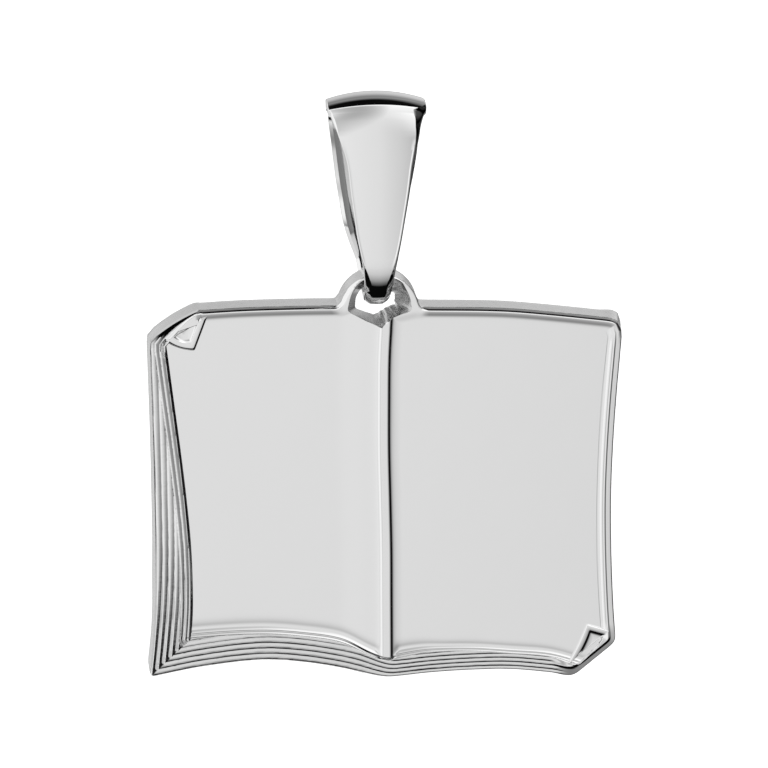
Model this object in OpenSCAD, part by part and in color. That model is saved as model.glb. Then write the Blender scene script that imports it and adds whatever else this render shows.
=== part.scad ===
// Open-book pendant that hangs in a folded bail.
// The origin is the chain's seat, under the bail's top bend. X runs right, Y back, Z up.
// A "drop" is a distance below that seat, so a point's Z is minus its drop. Millimetres.

/* [Bail] */
// Inside height of the bail, from the chain's seat to its lower bend
bail_inside_h = 9.2; // [8.8:0.1:9.6]
// Thickness of the folded strip
strip_t = 0.45; // [0.4:0.05:0.55]
// Inside radius of the top bend
top_bend_r = 1.2; // [1.1:0.05:1.2]
// Inside radius of the lower bend, which holds the book's loop
low_bend_r = 1; // [0.97:0.01:1.05]
// Inside half depth of the bail where its two legs are furthest apart
leg_gap = 1.3; // [1.25:0.05:1.6]
// Radius of the strip's crown, across its width
crown_r = 5.5; // [4.5:0.5:9]
// Middle of the strip, left to right
bail_x = 0.09; // [0.05:0.01:0.12]

/* [Book] */
// Thickness of the book from its flat back to its rims
book_t = 1.45; // [1.3:0.05:1.5]
// How far the two pages lie below their rims
page_sink = 0.14; // [0.1:0.01:0.2]
// Depth of the grooves between the layers of the page stacks
groove_d = 0.08; // [0.05:0.01:0.12]
// Layers in the left and bottom page stacks
layers = 6; // [4:1:7]
// Height of the spine's ridge above the pages
spine_h = 0.16; // [0.1:0.01:0.2]

/* [Loop] */
// Outer radius of the half-round loop on top of the book
loop_r = 1.87; // [1.8:0.01:1.95]
// Middle of the loop's arch, left to right
loop_x = 0.27; // [0.2:0.01:0.34]
// Drop of the loop's top
loop_top = 8.1; // [8.05:0.01:8.15]

/* [Hidden] */
silver = [0.8, 0.8, 0.8];

// The strip's taper. Columns: drop, half width of the front leg, half width of the back leg
STRIP_WIDTHS = [
    [-0.5, 2.3, 2.3],
    [0.2, 2.12, 2.14],
    [1, 1.9, 2.1],
    [2, 1.67, 2.03],
    [3, 1.5, 1.92],
    [4, 1.36, 1.77],
    [5, 1.21, 1.59],
    [6, 1.05, 1.36],
    [7, 0.86, 1.04],
    [8, 0.71, 0.77],
    [9, 0.64, 0.66],
    [9.7, 0.62, 0.62]
];

// Left side of the book. Columns: drop, x of the outline, x of the page's edge
LEFT_SIDE = [
    [10, -10.45, -9.8],
    [12, -10.35, -9.52],
    [14, -10.26, -9.24],
    [16.4, -10.16, -8.9],
    [18.9, -10.08, -8.58],
    [21.3, -10.02, -8.34],
    [24, -10, -8.23],
    [26, -10.05, -8.3],
    [27.6, -10.15, -8.4]
];

// Right side of the book. Columns: drop, x of the outline, x of the page's edge
RIGHT_SIDE = [
    [10.3, 11.69, 11.05],
    [12, 11.6, 10.93],
    [14.4, 11.47, 10.76],
    [16.8, 11.39, 10.7],
    [19.2, 11.38, 10.7],
    [21.7, 11.47, 10.76],
    [24.2, 11.63, 10.95],
    [26.2, 11.81, 11.15],
    [28.3, 12, 11.4]
];

// Top edge of the book. Columns: x, drop of the outline
TOP_EDGE = [
    [-10.5, 9.95],
    [-8, 9.77],
    [-5.7, 9.66],
    [-1.6, 9.63],
    [2.2, 9.75],
    [5.9, 9.85],
    [8.3, 10.07],
    [12, 10.51]
];

// Bottom edge of the book. Columns: x, drop of the outline, drop of the page's edge
BOTTOM_EDGE = [
    [-10.2, 27.65, 25.9],
    [-7.8, 27.18, 25.64],
    [-5, 26.9, 25.55],
    [-3.1, 27.03, 25.7],
    [-1.2, 27.37, 26.05],
    [0.3, 27.76, 26.8],
    [1, 27.87, 27],
    [1.6, 27.84, 26.85],
    [3, 27.71, 26.52],
    [4.9, 27.62, 26.42],
    [6.8, 27.62, 26.55],
    [8.7, 27.82, 26.95],
    [10.2, 28.04, 27.4],
    [12, 28.42, 28]
];

// The spine's gentle bow. Columns: drop, x of its middle
SPINE = [
    [10.4, 0.6],
    [12.2, 0.55],
    [14.2, 0.57],
    [16.6, 0.62],
    [19, 0.72],
    [21.5, 0.82],
    [24, 0.88],
    [28, 0.98]
];

// Dip of the top edge round the loop's hole: its middle, its half width and its depth
NOTCH_X = 0.3;
NOTCH_HALF_W = 1.9;
NOTCH_D = 0.85;

// Width of the rounded rim along the top edge, the fractions of it that its rows lie at, and how
// far the outline's edge is rounded down
TOP_RIM_W = 0.42;
TOP_RIM_ROWS = [0, 0.25, 0.55, 1];
EDGE_ROUND = 0.1;
// Fraction of the right rim's width, from the outline, at which the groove between its beads lies
RIGHT_GROOVE = 0.6;

// Half width of the spine's ridge at its foot and at its crest
SPINE_FOOT = 0.3;
SPINE_CREST = 0.15;

// The loop's hole as [x, drop] corners at the front, where it is widest, and at its waist
HOLE_FRONT = [
    [-1.15, 9.82], [-1.12, 9.4], [-0.85, 8.8], [-0.35, 8.4], [0.3, 8.28],
    [0.95, 8.4], [1.45, 8.85], [1.7, 9.45], [1.72, 9.82], [0.95, 10.2], [0.4, 10.5]
];
HOLE_WAIST = [
    [-0.8, 9.95], [-0.78, 9.45], [-0.68, 9.05], [-0.45, 8.87], [0.2, 8.82],
    [0.8, 8.87], [1.02, 9.05], [1.12, 9.5], [1.14, 9.85], [0.7, 10.1], [0.25, 10.35]
];
// Where the waist lies, counted back from the front, and how much wider the hole is at the back
WAIST_AT = 0.9;
BACK_FLARE = 1.3;
// Drop of the hole's middle, from which it flares, and how far the cutter runs past both faces
HOLE_MID = 9.55;
CUT_PAST = 0.5;

// The two cut corners. Each line has the book on its left, as seen from the front: [x, drop] ends
TOP_LEFT_CUT = [[-8.1, 9.7], [-10.42, 11.2]];
BOTTOM_RIGHT_CUT = [[9.87, 27.93], [11.86, 26.24]];

// The folded-over page corners: two ends at the cut, then the tip
TOP_LEFT_FOLD = [[-9.75, 11.1], [-7.85, 9.95], [-8.3, 11.6]];
BOTTOM_RIGHT_FOLD = [[9.85, 27.4], [11.4, 25.85], [10.45, 25.5]];
// Radius of a fold's bands, and how far they stand above the page
FOLD_BAND_R = 0.12;
FOLD_H = 0.2;

// Smooth value of column c of a table at key x, through every row
function row_at(t, x, i = 0) = (i >= len(t) - 2 || x < t[i + 1][0]) ? i : row_at(t, x, i + 1);
function row_slope(t, i, c) =
    let (a = max(i - 1, 0), b = min(i + 1, len(t) - 1))
    (t[b][c] - t[a][c]) / (t[b][0] - t[a][0]);
function curve(t, x, c = 1) =
    let (
        i = row_at(t, x),
        span = t[i + 1][0] - t[i][0],
        s = (x - t[i][0]) / span,
        m0 = row_slope(t, i, c) * span,
        m1 = row_slope(t, i + 1, c) * span
    )
    (2 * pow(s, 3) - 3 * pow(s, 2) + 1) * t[i][c] + (pow(s, 3) - 2 * pow(s, 2) + s) * m0
    + (3 * pow(s, 2) - 2 * pow(s, 3)) * t[i + 1][c] + (pow(s, 3) - pow(s, 2)) * m1;
function mix(a, b, f) = a + (b - a) * f;

// The bail's inside outline, seen from the side: two bends joined by two long side arcs.
// Each side arc is tangent to both bends and reaches leg_gap from the middle.
top_z = -top_bend_r;
low_z = -bail_inside_h + low_bend_r;
side_a = leg_gap - low_bend_r;
side_b = leg_gap - top_bend_r;
quad_a = side_a - side_b;
quad_b = 2 * (side_b * low_z - side_a * top_z);
quad_c = side_a * (pow(leg_gap, 2) - pow(top_bend_r, 2) + pow(top_z, 2))
    - side_b * (pow(leg_gap, 2) - pow(low_bend_r, 2) + pow(low_z, 2));
quad_root = sqrt(pow(quad_b, 2) - 4 * quad_a * quad_c);
side_z = (-quad_b - quad_root) / (2 * quad_a);
side_r = (pow(leg_gap, 2) - pow(top_bend_r, 2) + pow(side_z - top_z, 2)) / (2 * side_b);
side_y = leg_gap - side_r;
// Slopes of the side arc where it meets the two bends
top_angle = asin((top_z - side_z) / (side_r - top_bend_r));
low_angle = asin((low_z - side_z) / (side_r - low_bend_r));

BEND_STEPS = 14;
SIDE_STEPS = 12;
ACROSS = 8;

// Stations round the bail: [y, z, angle of the outward normal, 1 on the back leg or 0]
function arc_stations(cy, cz, r, from, to, n, back) =
    [for (i = [0:n - 1]) let (a = mix(from, to, i / n)) [cy + r * cos(a), cz + r * sin(a), a, back]];
BAIL_STATIONS = concat(
    arc_stations(side_y, side_z, side_r, low_angle, top_angle, SIDE_STEPS, 1),
    arc_stations(0, top_z, top_bend_r, top_angle, 90, BEND_STEPS / 2, 1),
    arc_stations(0, top_z, top_bend_r, 90, 180 - top_angle, BEND_STEPS / 2, 0),
    arc_stations(-side_y, side_z, side_r, 180 - top_angle, 180 - low_angle, SIDE_STEPS, 0),
    arc_stations(0, low_z, low_bend_r, 180 - low_angle, 270, BEND_STEPS / 2, 0),
    arc_stations(0, low_z, low_bend_r, 270, 360 + low_angle, BEND_STEPS / 2, 1)
);

// A point of the strip at a station: u runs -1 to 1 across it, d is the depth from its inside face
function strip_point(st, u, d) =
    let (
        half_w = curve(STRIP_WIDTHS, -st[1], 1 + st[3]),
        lift = d - pow(u * half_w, 2) / (2 * crown_r)
    )
    [bail_x + u * half_w, st[0] + lift * cos(st[2]), st[1] + lift * sin(st[2])];
// The strip's section: its inside face, then its outside face, whose edges are rounded. The
// outside face's points are spread wider, so that the rounding takes little of its width.
EDGE_T = 0.55;
FACE_SPREAD = 1.15;
STRIP_SECTION = concat(
    [for (i = [0:ACROSS]) [2 * i / ACROSS - 1, 0]],
    [[1, EDGE_T * strip_t]],
    [for (i = [ACROSS - 1:-1:1]) [(2 * i / ACROSS - 1) * FACE_SPREAD, strip_t]],
    [[-1, EDGE_T * strip_t]]
);

module bail() {
    n = len(BAIL_STATIONS);
    m = len(STRIP_SECTION);
    points = [for (st = BAIL_STATIONS) for (p = STRIP_SECTION) strip_point(st, p[0], p[1])];
    faces = [
        for (i = [0:n - 1]) for (j = [0:m - 1])
            let (k = (i + 1) % n, l = (j + 1) % m)
            each [[i * m + j, k * m + l, i * m + l], [i * m + j, k * m + j, k * m + l]]
    ];
    color(silver) polyhedron(points, faces);
}

// Grid lines of the book's front, as [zone, fraction]. Columns run left to right:
// 0 left stack, 1 left page, 2 spine, 3 right page, 4 right rim. A fraction in a border counts
// from the outline to the page, and on a page from left to right.
PAGE_STEPS = 13;
RIM_STEPS = 5;
COLUMNS = concat(
    [for (i = [0:2 * layers]) [0, i / (2 * layers)]],
    [for (i = [1:PAGE_STEPS - 1]) [1, i / PAGE_STEPS]],
    [for (x = [-SPINE_FOOT, -SPINE_CREST, SPINE_CREST, SPINE_FOOT]) [2, x]],
    [for (i = [1:PAGE_STEPS - 1]) [3, i / PAGE_STEPS]],
    [for (i = [RIM_STEPS:-1:0]) [4, i / RIM_STEPS]]
);
// A drop at the middle of the book, from which each grid point's place is first guessed
MID_DROP = 19;
// Rows run down: 0 top rim, 1 pages, 2 bottom stack, whose fraction counts from the outline
TALL_STEPS = 16;
ROWS = concat(
    [for (f = TOP_RIM_ROWS) [0, f]],
    [for (i = [1:TALL_STEPS - 1]) [1, i / TALL_STEPS]],
    [for (i = [2 * layers:-1:0]) [2, i / (2 * layers)]]
);

function notch(x) = NOTCH_D * max(0, 1 - abs(x - NOTCH_X) / NOTCH_HALF_W);
function top_drop(x) = curve(TOP_EDGE, x) + notch(x);
function column_x(c, drop) =
    c[0] == 0 ? mix(curve(LEFT_SIDE, drop, 1), curve(LEFT_SIDE, drop, 2), c[1])
    : c[0] == 1 ? mix(curve(LEFT_SIDE, drop, 2), curve(SPINE, drop) - SPINE_FOOT, c[1])
    : c[0] == 2 ? curve(SPINE, drop) + c[1]
    : c[0] == 3 ? mix(curve(SPINE, drop) + SPINE_FOOT, curve(RIGHT_SIDE, drop, 2), c[1])
    : mix(curve(RIGHT_SIDE, drop, 1), curve(RIGHT_SIDE, drop, 2), c[1]);
function row_drop(r, x) =
    r[0] == 0 ? top_drop(x) + r[1] * TOP_RIM_W
    : r[0] == 1 ? mix(top_drop(x) + TOP_RIM_W, curve(BOTTOM_EDGE, x, 2), r[1])
    : mix(curve(BOTTOM_EDGE, x, 1), curve(BOTTOM_EDGE, x, 2), r[1]);

// Heights, counted from the rims' crests down. A stack is a row of ridges that ends in a step
// down to the page, and a rim is one or two beads.
function stack_height(f, last) =
    f <= 0 ? -EDGE_ROUND
    : f >= 1 ? -page_sink
    : round(f * last) % 2 == 1 ? 0 : -groove_d;
function rim_height(f) = f <= 0 ? -EDGE_ROUND : f >= 1 ? -page_sink : 0;
function right_height(f) =
    f <= 0 ? -EDGE_ROUND : f >= 1 ? -page_sink : abs(f - RIGHT_GROOVE) < 0.5 / RIM_STEPS ? -groove_d : 0;
function column_height(c) =
    c[0] == 0 ? stack_height(c[1], 2 * layers)
    : c[0] == 2 ? -page_sink + (abs(c[1]) < SPINE_FOOT ? spine_h : 0)
    : c[0] == 4 ? right_height(c[1])
    : -page_sink;
function row_height(r) = r[0] == 0 ? rim_height(r[1]) : r[0] == 2 ? stack_height(r[1], 2 * layers) : -page_sink;
// In a corner of the border the line nearer the outline wins, which mitres the layers
function in_border(g) = (g[0] == 0 || g[0] == 4) && g[1] < 1;
function relief(c, r) =
    r[0] == 1 ? column_height(c)
    : !in_border(c) ? max(row_height(r), r[1] >= 1 ? column_height(c) : -1)
    : c[1] < r[1] ? column_height(c) : row_height(r);

module plate() {
    nc = len(COLUMNS);
    nr = len(ROWS);
    grid = [
        for (r = ROWS) for (c = COLUMNS)
            let (
                x0 = column_x(c, row_drop(r, column_x(c, MID_DROP))),
                x1 = column_x(c, row_drop(r, x0)),
                drop = row_drop(r, x1)
            )
            [column_x(c, drop), -book_t / 2 - relief(c, r), -drop]
    ];
    ring = concat(
        [for (i = [0:nc - 1]) i],
        [for (j = [1:nr - 1]) j * nc + nc - 1],
        [for (i = [nc - 2:-1:0]) (nr - 1) * nc + i],
        [for (j = [nr - 2:-1:1]) j * nc]
    );
    n = len(ring);
    back = [for (i = ring) [grid[i][0], book_t / 2, grid[i][2]]];
    front_faces = [
        for (j = [0:nr - 2]) for (i = [0:nc - 2])
            let (a = j * nc + i, b = a + 1, c = a + nc, d = c + 1)
            // The cells left of the spine split the other way, so that the mitre runs to its corner
            each (i < nc / 2 ? [[a, b, c], [b, d, c]] : [[a, b, d], [a, d, c]])
    ];
    walls = [
        for (k = [0:n - 1])
            let (l = (k + 1) % n, a = ring[k], b = ring[l], p = nc * nr + k, q = nc * nr + l)
            each [[a, p, q], [a, q, b]]
    ];
    polyhedron(concat(grid, back), concat(front_faces, walls, [[for (k = [n - 1:-1:0]) nc * nr + k]]));
}

// A prism of an [x, drop] outline that runs back from y0 to y1
module slab(outline, y0, y1) {
    translate([0, y1, 0]) rotate([90, 0, 0]) linear_extrude(y1 - y0)
        polygon([for (p = outline) [p[0], -p[1]]]);
}

// The solid half-round boss that becomes the loop once its hole is cut. Its foot is sunk in the plate.
module loop_boss() {
    centre = loop_top + loop_r;
    foot_angle = 5;
    foot_sink = 0.1;
    arc = [
        for (a = [-foot_angle:5:180 + foot_angle])
            [loop_x + loop_r * cos(a), centre - loop_r * sin(a)]
    ];
    slab(concat(arc, [[NOTCH_X, top_drop(NOTCH_X) + foot_sink]]), -book_t / 2, book_t / 2);
}

// The hole narrows from the front to its waist and flares a little at the back
module loop_hole() {
    skin = 0.01;
    waist_y = WAIST_AT - book_t / 2;
    flare = [for (p = HOLE_WAIST) [mix(loop_x, p[0], BACK_FLARE), mix(HOLE_MID, p[1], BACK_FLARE)]];
    hull() {
        slab(HOLE_FRONT, -book_t / 2 - CUT_PAST, -book_t / 2);
        slab(HOLE_WAIST, waist_y, waist_y + skin);
    }
    hull() {
        slab(HOLE_WAIST, waist_y, waist_y + skin);
        slab(flare, book_t / 2, book_t / 2 + CUT_PAST);
    }
}

// A folded page corner: three rounded bands round a shallow panel
module page_fold(corners) {
    for (i = [0:2])
        hull() for (p = [corners[i], corners[(i + 1) % 3]])
            translate([p[0], 0, -p[1]]) rotate([90, 0, 0])
                cylinder(r = FOLD_BAND_R, h = book_t / 2 - page_sink + FOLD_H, $fn = 16);
    slab(corners, -book_t / 2 + page_sink - FOLD_H / 2, 0);
}

// Everything on the outer side of a cut corner
module corner_cut(line) {
    run = line[1] - line[0];
    reach = 2;
    far = [run[1], -run[0]] * (reach / norm(run));
    slab(
        [line[0] - run, line[1] + run, line[1] + run - far, line[0] - run - far],
        -book_t, book_t
    );
}

module book() {
    color(silver) difference() {
        union() {
            plate();
            loop_boss();
            page_fold(TOP_LEFT_FOLD);
            page_fold(BOTTOM_RIGHT_FOLD);
        }
        loop_hole();
        corner_cut(TOP_LEFT_CUT);
        corner_cut(BOTTOM_RIGHT_CUT);
    }
}

bail();
book();
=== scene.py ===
"""Looks of a silver open-book pendant that hangs in a folded bail.

Lengths are millimetres until a mesh is made, and the frame is the model's own: the origin is the
chain's seat, X runs right, Y back and Z up. A "drop" is a distance below the origin. The book's
tables and the bail's outline follow the solid model that this script dresses. Here the front
leg's face is flat below the top bend, and so lies up to 0.4 mm behind the solid's; the cut at the
top left bows 0.12 mm outwards, and the lower left edge lies up to 0.13 mm further left.
"""

import math

import bmesh
import bpy
import numpy as np
from mathutils import Matrix, Vector, noise
from mathutils.kdtree import KDTree


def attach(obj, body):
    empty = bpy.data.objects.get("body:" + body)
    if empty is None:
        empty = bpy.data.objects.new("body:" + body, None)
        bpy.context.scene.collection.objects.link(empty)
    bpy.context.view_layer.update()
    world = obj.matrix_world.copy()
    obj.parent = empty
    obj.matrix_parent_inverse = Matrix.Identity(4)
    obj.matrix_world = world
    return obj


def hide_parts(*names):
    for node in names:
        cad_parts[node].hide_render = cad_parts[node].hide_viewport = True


MM = 0.001
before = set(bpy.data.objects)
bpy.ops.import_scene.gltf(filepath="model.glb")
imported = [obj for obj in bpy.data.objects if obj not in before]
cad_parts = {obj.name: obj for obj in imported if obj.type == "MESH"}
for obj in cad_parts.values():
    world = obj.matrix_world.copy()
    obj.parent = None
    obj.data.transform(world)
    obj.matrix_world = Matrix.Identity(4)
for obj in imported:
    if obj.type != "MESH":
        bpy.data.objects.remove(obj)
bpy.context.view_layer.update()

# Bail
BAIL_INSIDE_H = 9.2
STRIP_T = 0.45
TOP_BEND_R = 1.2
LOW_BEND_R = 1.0
LEG_GAP = 1.3
# Radius of the strip's crown. Columns: drop, front leg, back leg
CROWNS = [(0.2, 7, 7), (1.4, 13, 7), (7.6, 13, 7), (8.8, 2.6, 2.6)]
# Middle of the strip, which hangs a little askew. Columns: drop, x
LEG_MIDDLES = [
    (-0.5, -0.05), (0.5, -0.04), (1.4, 0.02), (2.6, 0.1), (6, 0.11), (7.6, 0.14), (9.7, 0.12),
]
# Columns: drop of the strip's outer face, half width of the front leg, half width of the back leg
LEG_WIDTHS = [
    (-0.5, 2.28, 2.28), (-0.15, 2.27, 2.24), (0, 2.19, 2.2), (0.45, 2.08, 2.11), (1.4, 1.86, 2.07),
    (2.6, 1.55, 1.97), (4, 1.36, 1.78), (5, 1.21, 1.6), (6.15, 1.03, 1.39), (7.2, 0.83, 1.08),
    (8, 0.71, 0.79), (9, 0.62, 0.65), (9.7, 0.48, 0.52),
]
# Widths of the shoulders beside the strip's flat face. Columns: drop, left, right
SHOULDERS = [
    (-0.5, 0.02, 0.05), (-0.3, 0.02, 0.08), (-0.2, 0.02, 0.2), (-0.08, 0.02, 0.42),
    (0.02, 0.03, 0.53), (0.1, 0.05, 0.5), (0.47, 0.09, 0.36), (0.9, 0.07, 0.27), (1.3, 0.02, 0.19),
    (2, 0.006, 0.12), (4, 0.006, 0.08), (6.2, 0.006, 0.06), (7, 0.02, 0.08), (7.4, 0.07, 0.12),
    (8, 0.22, 0.24), (8.4, 0.3, 0.31), (8.8, 0.31, 0.32), (9.2, 0.28, 0.28), (9.7, 0.2, 0.2),
]
# Fall of the shoulders for their width, above and below the drops between which it changes
SHOULDER_STEEPNESS = (0.95, 0.6)
STEEP_PART = (7.4, 8.2)
# The front leg's face, seen from the side. Rows: way from the middle of the top, tilt upwards
FRONT_FACE = [
    (0, 90), (0.2, 83), (0.42, 75), (0.62, 68), (0.72, 63), (1.1, 55), (1.11, 18), (1.4, 12),
    (1.8, 7.5), (2.4, 4), (3.3, 2), (8.2, 2), (8.6, -2), (9, -5.5), (9.4, -10), (9.7, -15),
    (10, -25), (10.3, -40), (10.6, -58), (11, -75), (11.4, -90), (12.5, -90),
]
# Way at which its crease lies, and the step along it
CREASE = 1.1
PROFILE_STEP = 0.01
# Thickness of the front leg there, and the drops between which it joins the lower bend
LEG_T = 0.34
JOIN = (8.5, 8.9)
# Largest falls of the left and the right shoulder, as shares of the strip's thickness
SHOULDER_FALLS = (0.7, 0.85)
# Bevels inside the strip's edges, on the front and the back leg, and the roll of the back leg's
BEVELS = (0.05, 0.15)
EDGE_ROLL = 0.02

# Book
BOOK_T = 1.45
FRONT_Y = -BOOK_T / 2
BACK_Y = BOOK_T / 2
PAGE_SINK = 0.14
PAGE_Y = FRONT_Y + PAGE_SINK
# Columns: drop, x of the outline, x of the page's edge
LEFT_SIDE = [
    (10, -10.45, -9.8), (12, -10.35, -9.52), (14, -10.26, -9.24), (16.4, -10.16, -8.9),
    (18.9, -10.08, -8.58), (21.3, -10.02, -8.34), (24, -10.03, -8.23), (26, -10.14, -8.3),
    (27.6, -10.28, -8.4),
]
RIGHT_SIDE = [
    (10.3, 11.69, 11.05), (12, 11.6, 10.93), (14.4, 11.47, 10.76), (16.8, 11.39, 10.7),
    (19.2, 11.38, 10.7), (21.7, 11.47, 10.76), (24.2, 11.63, 10.95), (26.2, 11.81, 11.15),
    (28.3, 12, 11.4),
]
# Columns: x, drop of the outline
TOP_EDGE = [
    (-10.5, 9.95), (-8, 9.77), (-5.7, 9.66), (-1.6, 9.63), (2.2, 9.75), (5.9, 9.85), (8.3, 10.07),
    (12, 10.51),
]
# Columns: x, drop of the outline, drop of the page's edge
BOTTOM_EDGE = [
    (-10.2, 27.65, 25.9), (-7.8, 27.18, 25.64), (-5, 26.9, 25.55), (-3.1, 27.03, 25.7),
    (-1.2, 27.37, 26.05), (0.3, 27.76, 26.8), (1, 27.87, 27), (1.6, 27.84, 26.85),
    (3, 27.71, 26.62), (4.9, 27.62, 26.6), (6.8, 27.62, 26.75), (8.7, 27.82, 26.95),
    (10.2, 28.04, 27.4), (12, 28.42, 28),
]
# Columns: drop, x of the spine's middle
SPINE = [
    (10.4, 0.6), (12.2, 0.55), (14.2, 0.57), (16.6, 0.62), (19, 0.72), (21.5, 0.82), (24, 0.88),
    (28, 0.98),
]
TOP_RIM_W = 0.6
NOTCH_X = 0.4
NOTCH_HALF_W = 1.6
NOTCH_D = 0.4
LOOP_R = 1.87
LOOP_X = 0.27
LOOP_TOP = 8.1
# Where the top rim turns into the right one round the corner, as x - z
RIM_TURN = (21.9, 22.8)
# Side wall: its start behind the front, its widening to the back, the same at the lower left and at
# the top right, and the rounding and the inset of the flat back
WALL_FROM = 0.35
DRAFT = 0.055
LOW_LEFT_DRAFT = -0.04
TOP_RIGHT_DRAFT = 0.18
BACK_R = 0.07
BACK_INSET = 0.12
# Ends of the two cut corners, (x, z)
TOP_LEFT_CUT = ((-8.1, -9.7), (-10.42, -11.2))
BOTTOM_RIGHT_CUT = ((11.86, -26.24), (9.87, -27.93))
# The loop's hole as (x, drop) corners, at the front and at its waist
HOLE_FRONT = [
    (-1.16, 9.6), (-0.98, 8.95), (-0.55, 8.42), (0.3, 8.27), (1.05, 8.42), (1.44, 8.88),
    (1.66, 9.5), (1.66, 9.84), (1.2, 10.04), (0.84, 10.2), (0.52, 10.43), (0.34, 10.58),
    (0.05, 10.48), (-0.37, 10.3), (-0.74, 10.11), (-1.13, 9.88),
]
HOLE_WAIST = [
    (-0.78, 9.68), (-0.74, 9.38), (-0.55, 9.05), (-0.3, 8.88), (0.2, 8.82), (0.7, 8.9),
    (0.98, 9.2), (1.06, 9.52), (1.04, 9.76), (0.8, 9.87), (0.55, 10), (0.3, 10.14),
    (0.1, 10.24), (-0.1, 10.18), (-0.42, 10.07), (-0.75, 9.92),
]
# Depth of the waist, the hole's growth from there to the back, and its roughness
WAIST_AT = 0.9
BACK_FLARE = 1.3
HOLE_ROUGHNESS = 0.09
LOOP_CENTRE = np.array([LOOP_X, 9.55])

# Sections across the book's borders. Rows: distance inwards, slope in degrees, which is positive
# where the metal rises inwards. From the top outline to the page
TOP_SECTION = [
    (0, 80), (0.012, 76), (0.035, 70), (0.075, 63), (0.115, 56), (0.13, 40), (0.14, 10),
    (0.15, -5), (0.17, -8), (0.21, -9.5), (0.26, -10.5), (0.33, -11), (0.38, -9), (0.44, -5),
    (0.5, -2), (0.6, 0),
]
# From the right outline to the page: a strip, a step, a bead and a hollow
RIGHT_SECTION = [
    (0, 72), (0.02, 50), (0.05, 20), (0.07, 3), (0.25, 2), (0.265, 24), (0.31, 26), (0.325, 5),
    (0.35, -12), (0.38, -4), (0.4, 9), (0.43, 4), (0.46, -20), (0.52, -25), (0.58, -14),
    (0.63, -3), (0.67, 4), (0.72, 2), (0.77, 0),
]
# From the page's bottom edge up to the flat of the page: two curled sheets and a trough
CURL_SECTION = [
    (0, 38), (0.02, 36), (0.028, -26), (0.08, -24), (0.096, -6), (0.102, 10), (0.13, 10),
    (0.137, 1), (0.168, 2), (0.175, 11), (0.205, 11), (0.212, -26), (0.255, -25), (0.32, -16),
    (0.38, -8), (0.43, -1), (0.47, 2), (0.53, 5), (0.58, 6), (0.66, 5), (0.76, 3), (0.95, 1),
    (1.15, 0),
]
# Across the spine from left to right: here a positive slope faces left
SPINE_SECTION = [
    (-2.2, 0), (-2, 1.6), (-0.9, 1.6), (-0.6, 2.5), (-0.42, 6), (-0.33, 12), (-0.27, 27),
    (-0.235, 30), (-0.215, 2), (-0.19, -12), (-0.165, 8), (-0.15, 0), (0.1, 0), (0.14, -8),
    (0.19, -38), (0.26, -42), (0.29, -16), (0.36, -7), (0.5, -3), (0.75, 0),
]


def mix(a, b, f):
    return a + (b - a) * f


def ramp(value, low, high):
    """Smooth step from 0 at low to 1 at high, also where high is the smaller."""
    t = np.clip((value - low) / (high - low), 0, 1)
    return t * t * (3 - 2 * t)


def section_height(rows, step=0.002):
    """Height along a section of slopes, counted from its inner end."""
    at, slope = np.array(rows, float).T
    fine = np.arange(at[0], at[-1] + step, step)
    rise = np.cumsum(np.tan(np.radians(np.interp(fine, at, slope)))) * step
    return lambda d: np.interp(d, fine, rise - rise[-1])


top_rim = section_height(TOP_SECTION)
right_rim = section_height(RIGHT_SECTION)
page_curl = section_height(CURL_SECTION)
spine_ridge = section_height(SPINE_SECTION)
SPINE_START = float(spine_ridge(SPINE_SECTION[0][0]))


def table_curve(table, keys, column=1):
    """Smooth curve through one column of a table, at each key."""
    rows = np.array(table, float)
    x, y = rows[:, 0], rows[:, column]
    slopes = np.empty(len(x))
    slopes[1:-1] = (y[2:] - y[:-2]) / (x[2:] - x[:-2])
    slopes[0] = (y[1] - y[0]) / (x[1] - x[0])
    slopes[-1] = (y[-1] - y[-2]) / (x[-1] - x[-2])
    keys = np.asarray(keys, float)
    i = np.clip(np.searchsorted(x, keys, side="right") - 1, 0, len(x) - 2)
    span = x[i + 1] - x[i]
    s = (keys - x[i]) / span
    return (
        (2 * s**3 - 3 * s**2 + 1) * y[i]
        + (s**3 - 2 * s**2 + s) * slopes[i] * span
        + (3 * s**2 - 2 * s**3) * y[i + 1]
        + (s**3 - s**2) * slopes[i + 1] * span
    )


def page_top_drop(x):
    notch = NOTCH_D * np.maximum(0, 1 - np.abs(x - NOTCH_X) / NOTCH_HALF_W)
    return table_curve(TOP_EDGE, x) + notch + TOP_RIM_W


def face_outwards(mesh):
    work = bmesh.new()
    work.from_mesh(mesh)
    bmesh.ops.recalc_face_normals(work, faces=work.faces)
    work.to_mesh(mesh)
    work.free()


def linked(name, data):
    """A new object in the scene."""
    obj = bpy.data.objects.new(name, data)
    bpy.context.scene.collection.objects.link(obj)
    return obj


def mesh_object(name, points, faces):
    """A mesh object from millimetre points."""
    mesh = bpy.data.meshes.new(name)
    mesh.from_pydata((np.asarray(points, float) * MM).tolist(), [], faces)
    face_outwards(mesh)
    return linked(name, mesh)


def final_mesh(obj):
    """Turns an object and its modifiers into a plain mesh."""
    graph = bpy.context.evaluated_depsgraph_get()
    mesh = bpy.data.meshes.new_from_object(obj.evaluated_get(graph))
    old = obj.data
    obj.modifiers.clear()
    obj.data = mesh
    bpy.data.meshes.remove(old)


def boolean(obj, other, operation):
    """Joins or cuts with another object, which is then removed."""
    step = obj.modifiers.new(operation, "BOOLEAN")
    step.operation = operation
    step.solver = "MANIFOLD"
    step.object = other
    final_mesh(obj)
    bpy.data.objects.remove(other)


def polish(obj, sharp_degrees):
    """Smooth shading with creases at steep edges."""
    for face in obj.data.polygons:
        face.use_smooth = True
    obj.data.set_sharp_from_angle(angle=math.radians(sharp_degrees))


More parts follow.
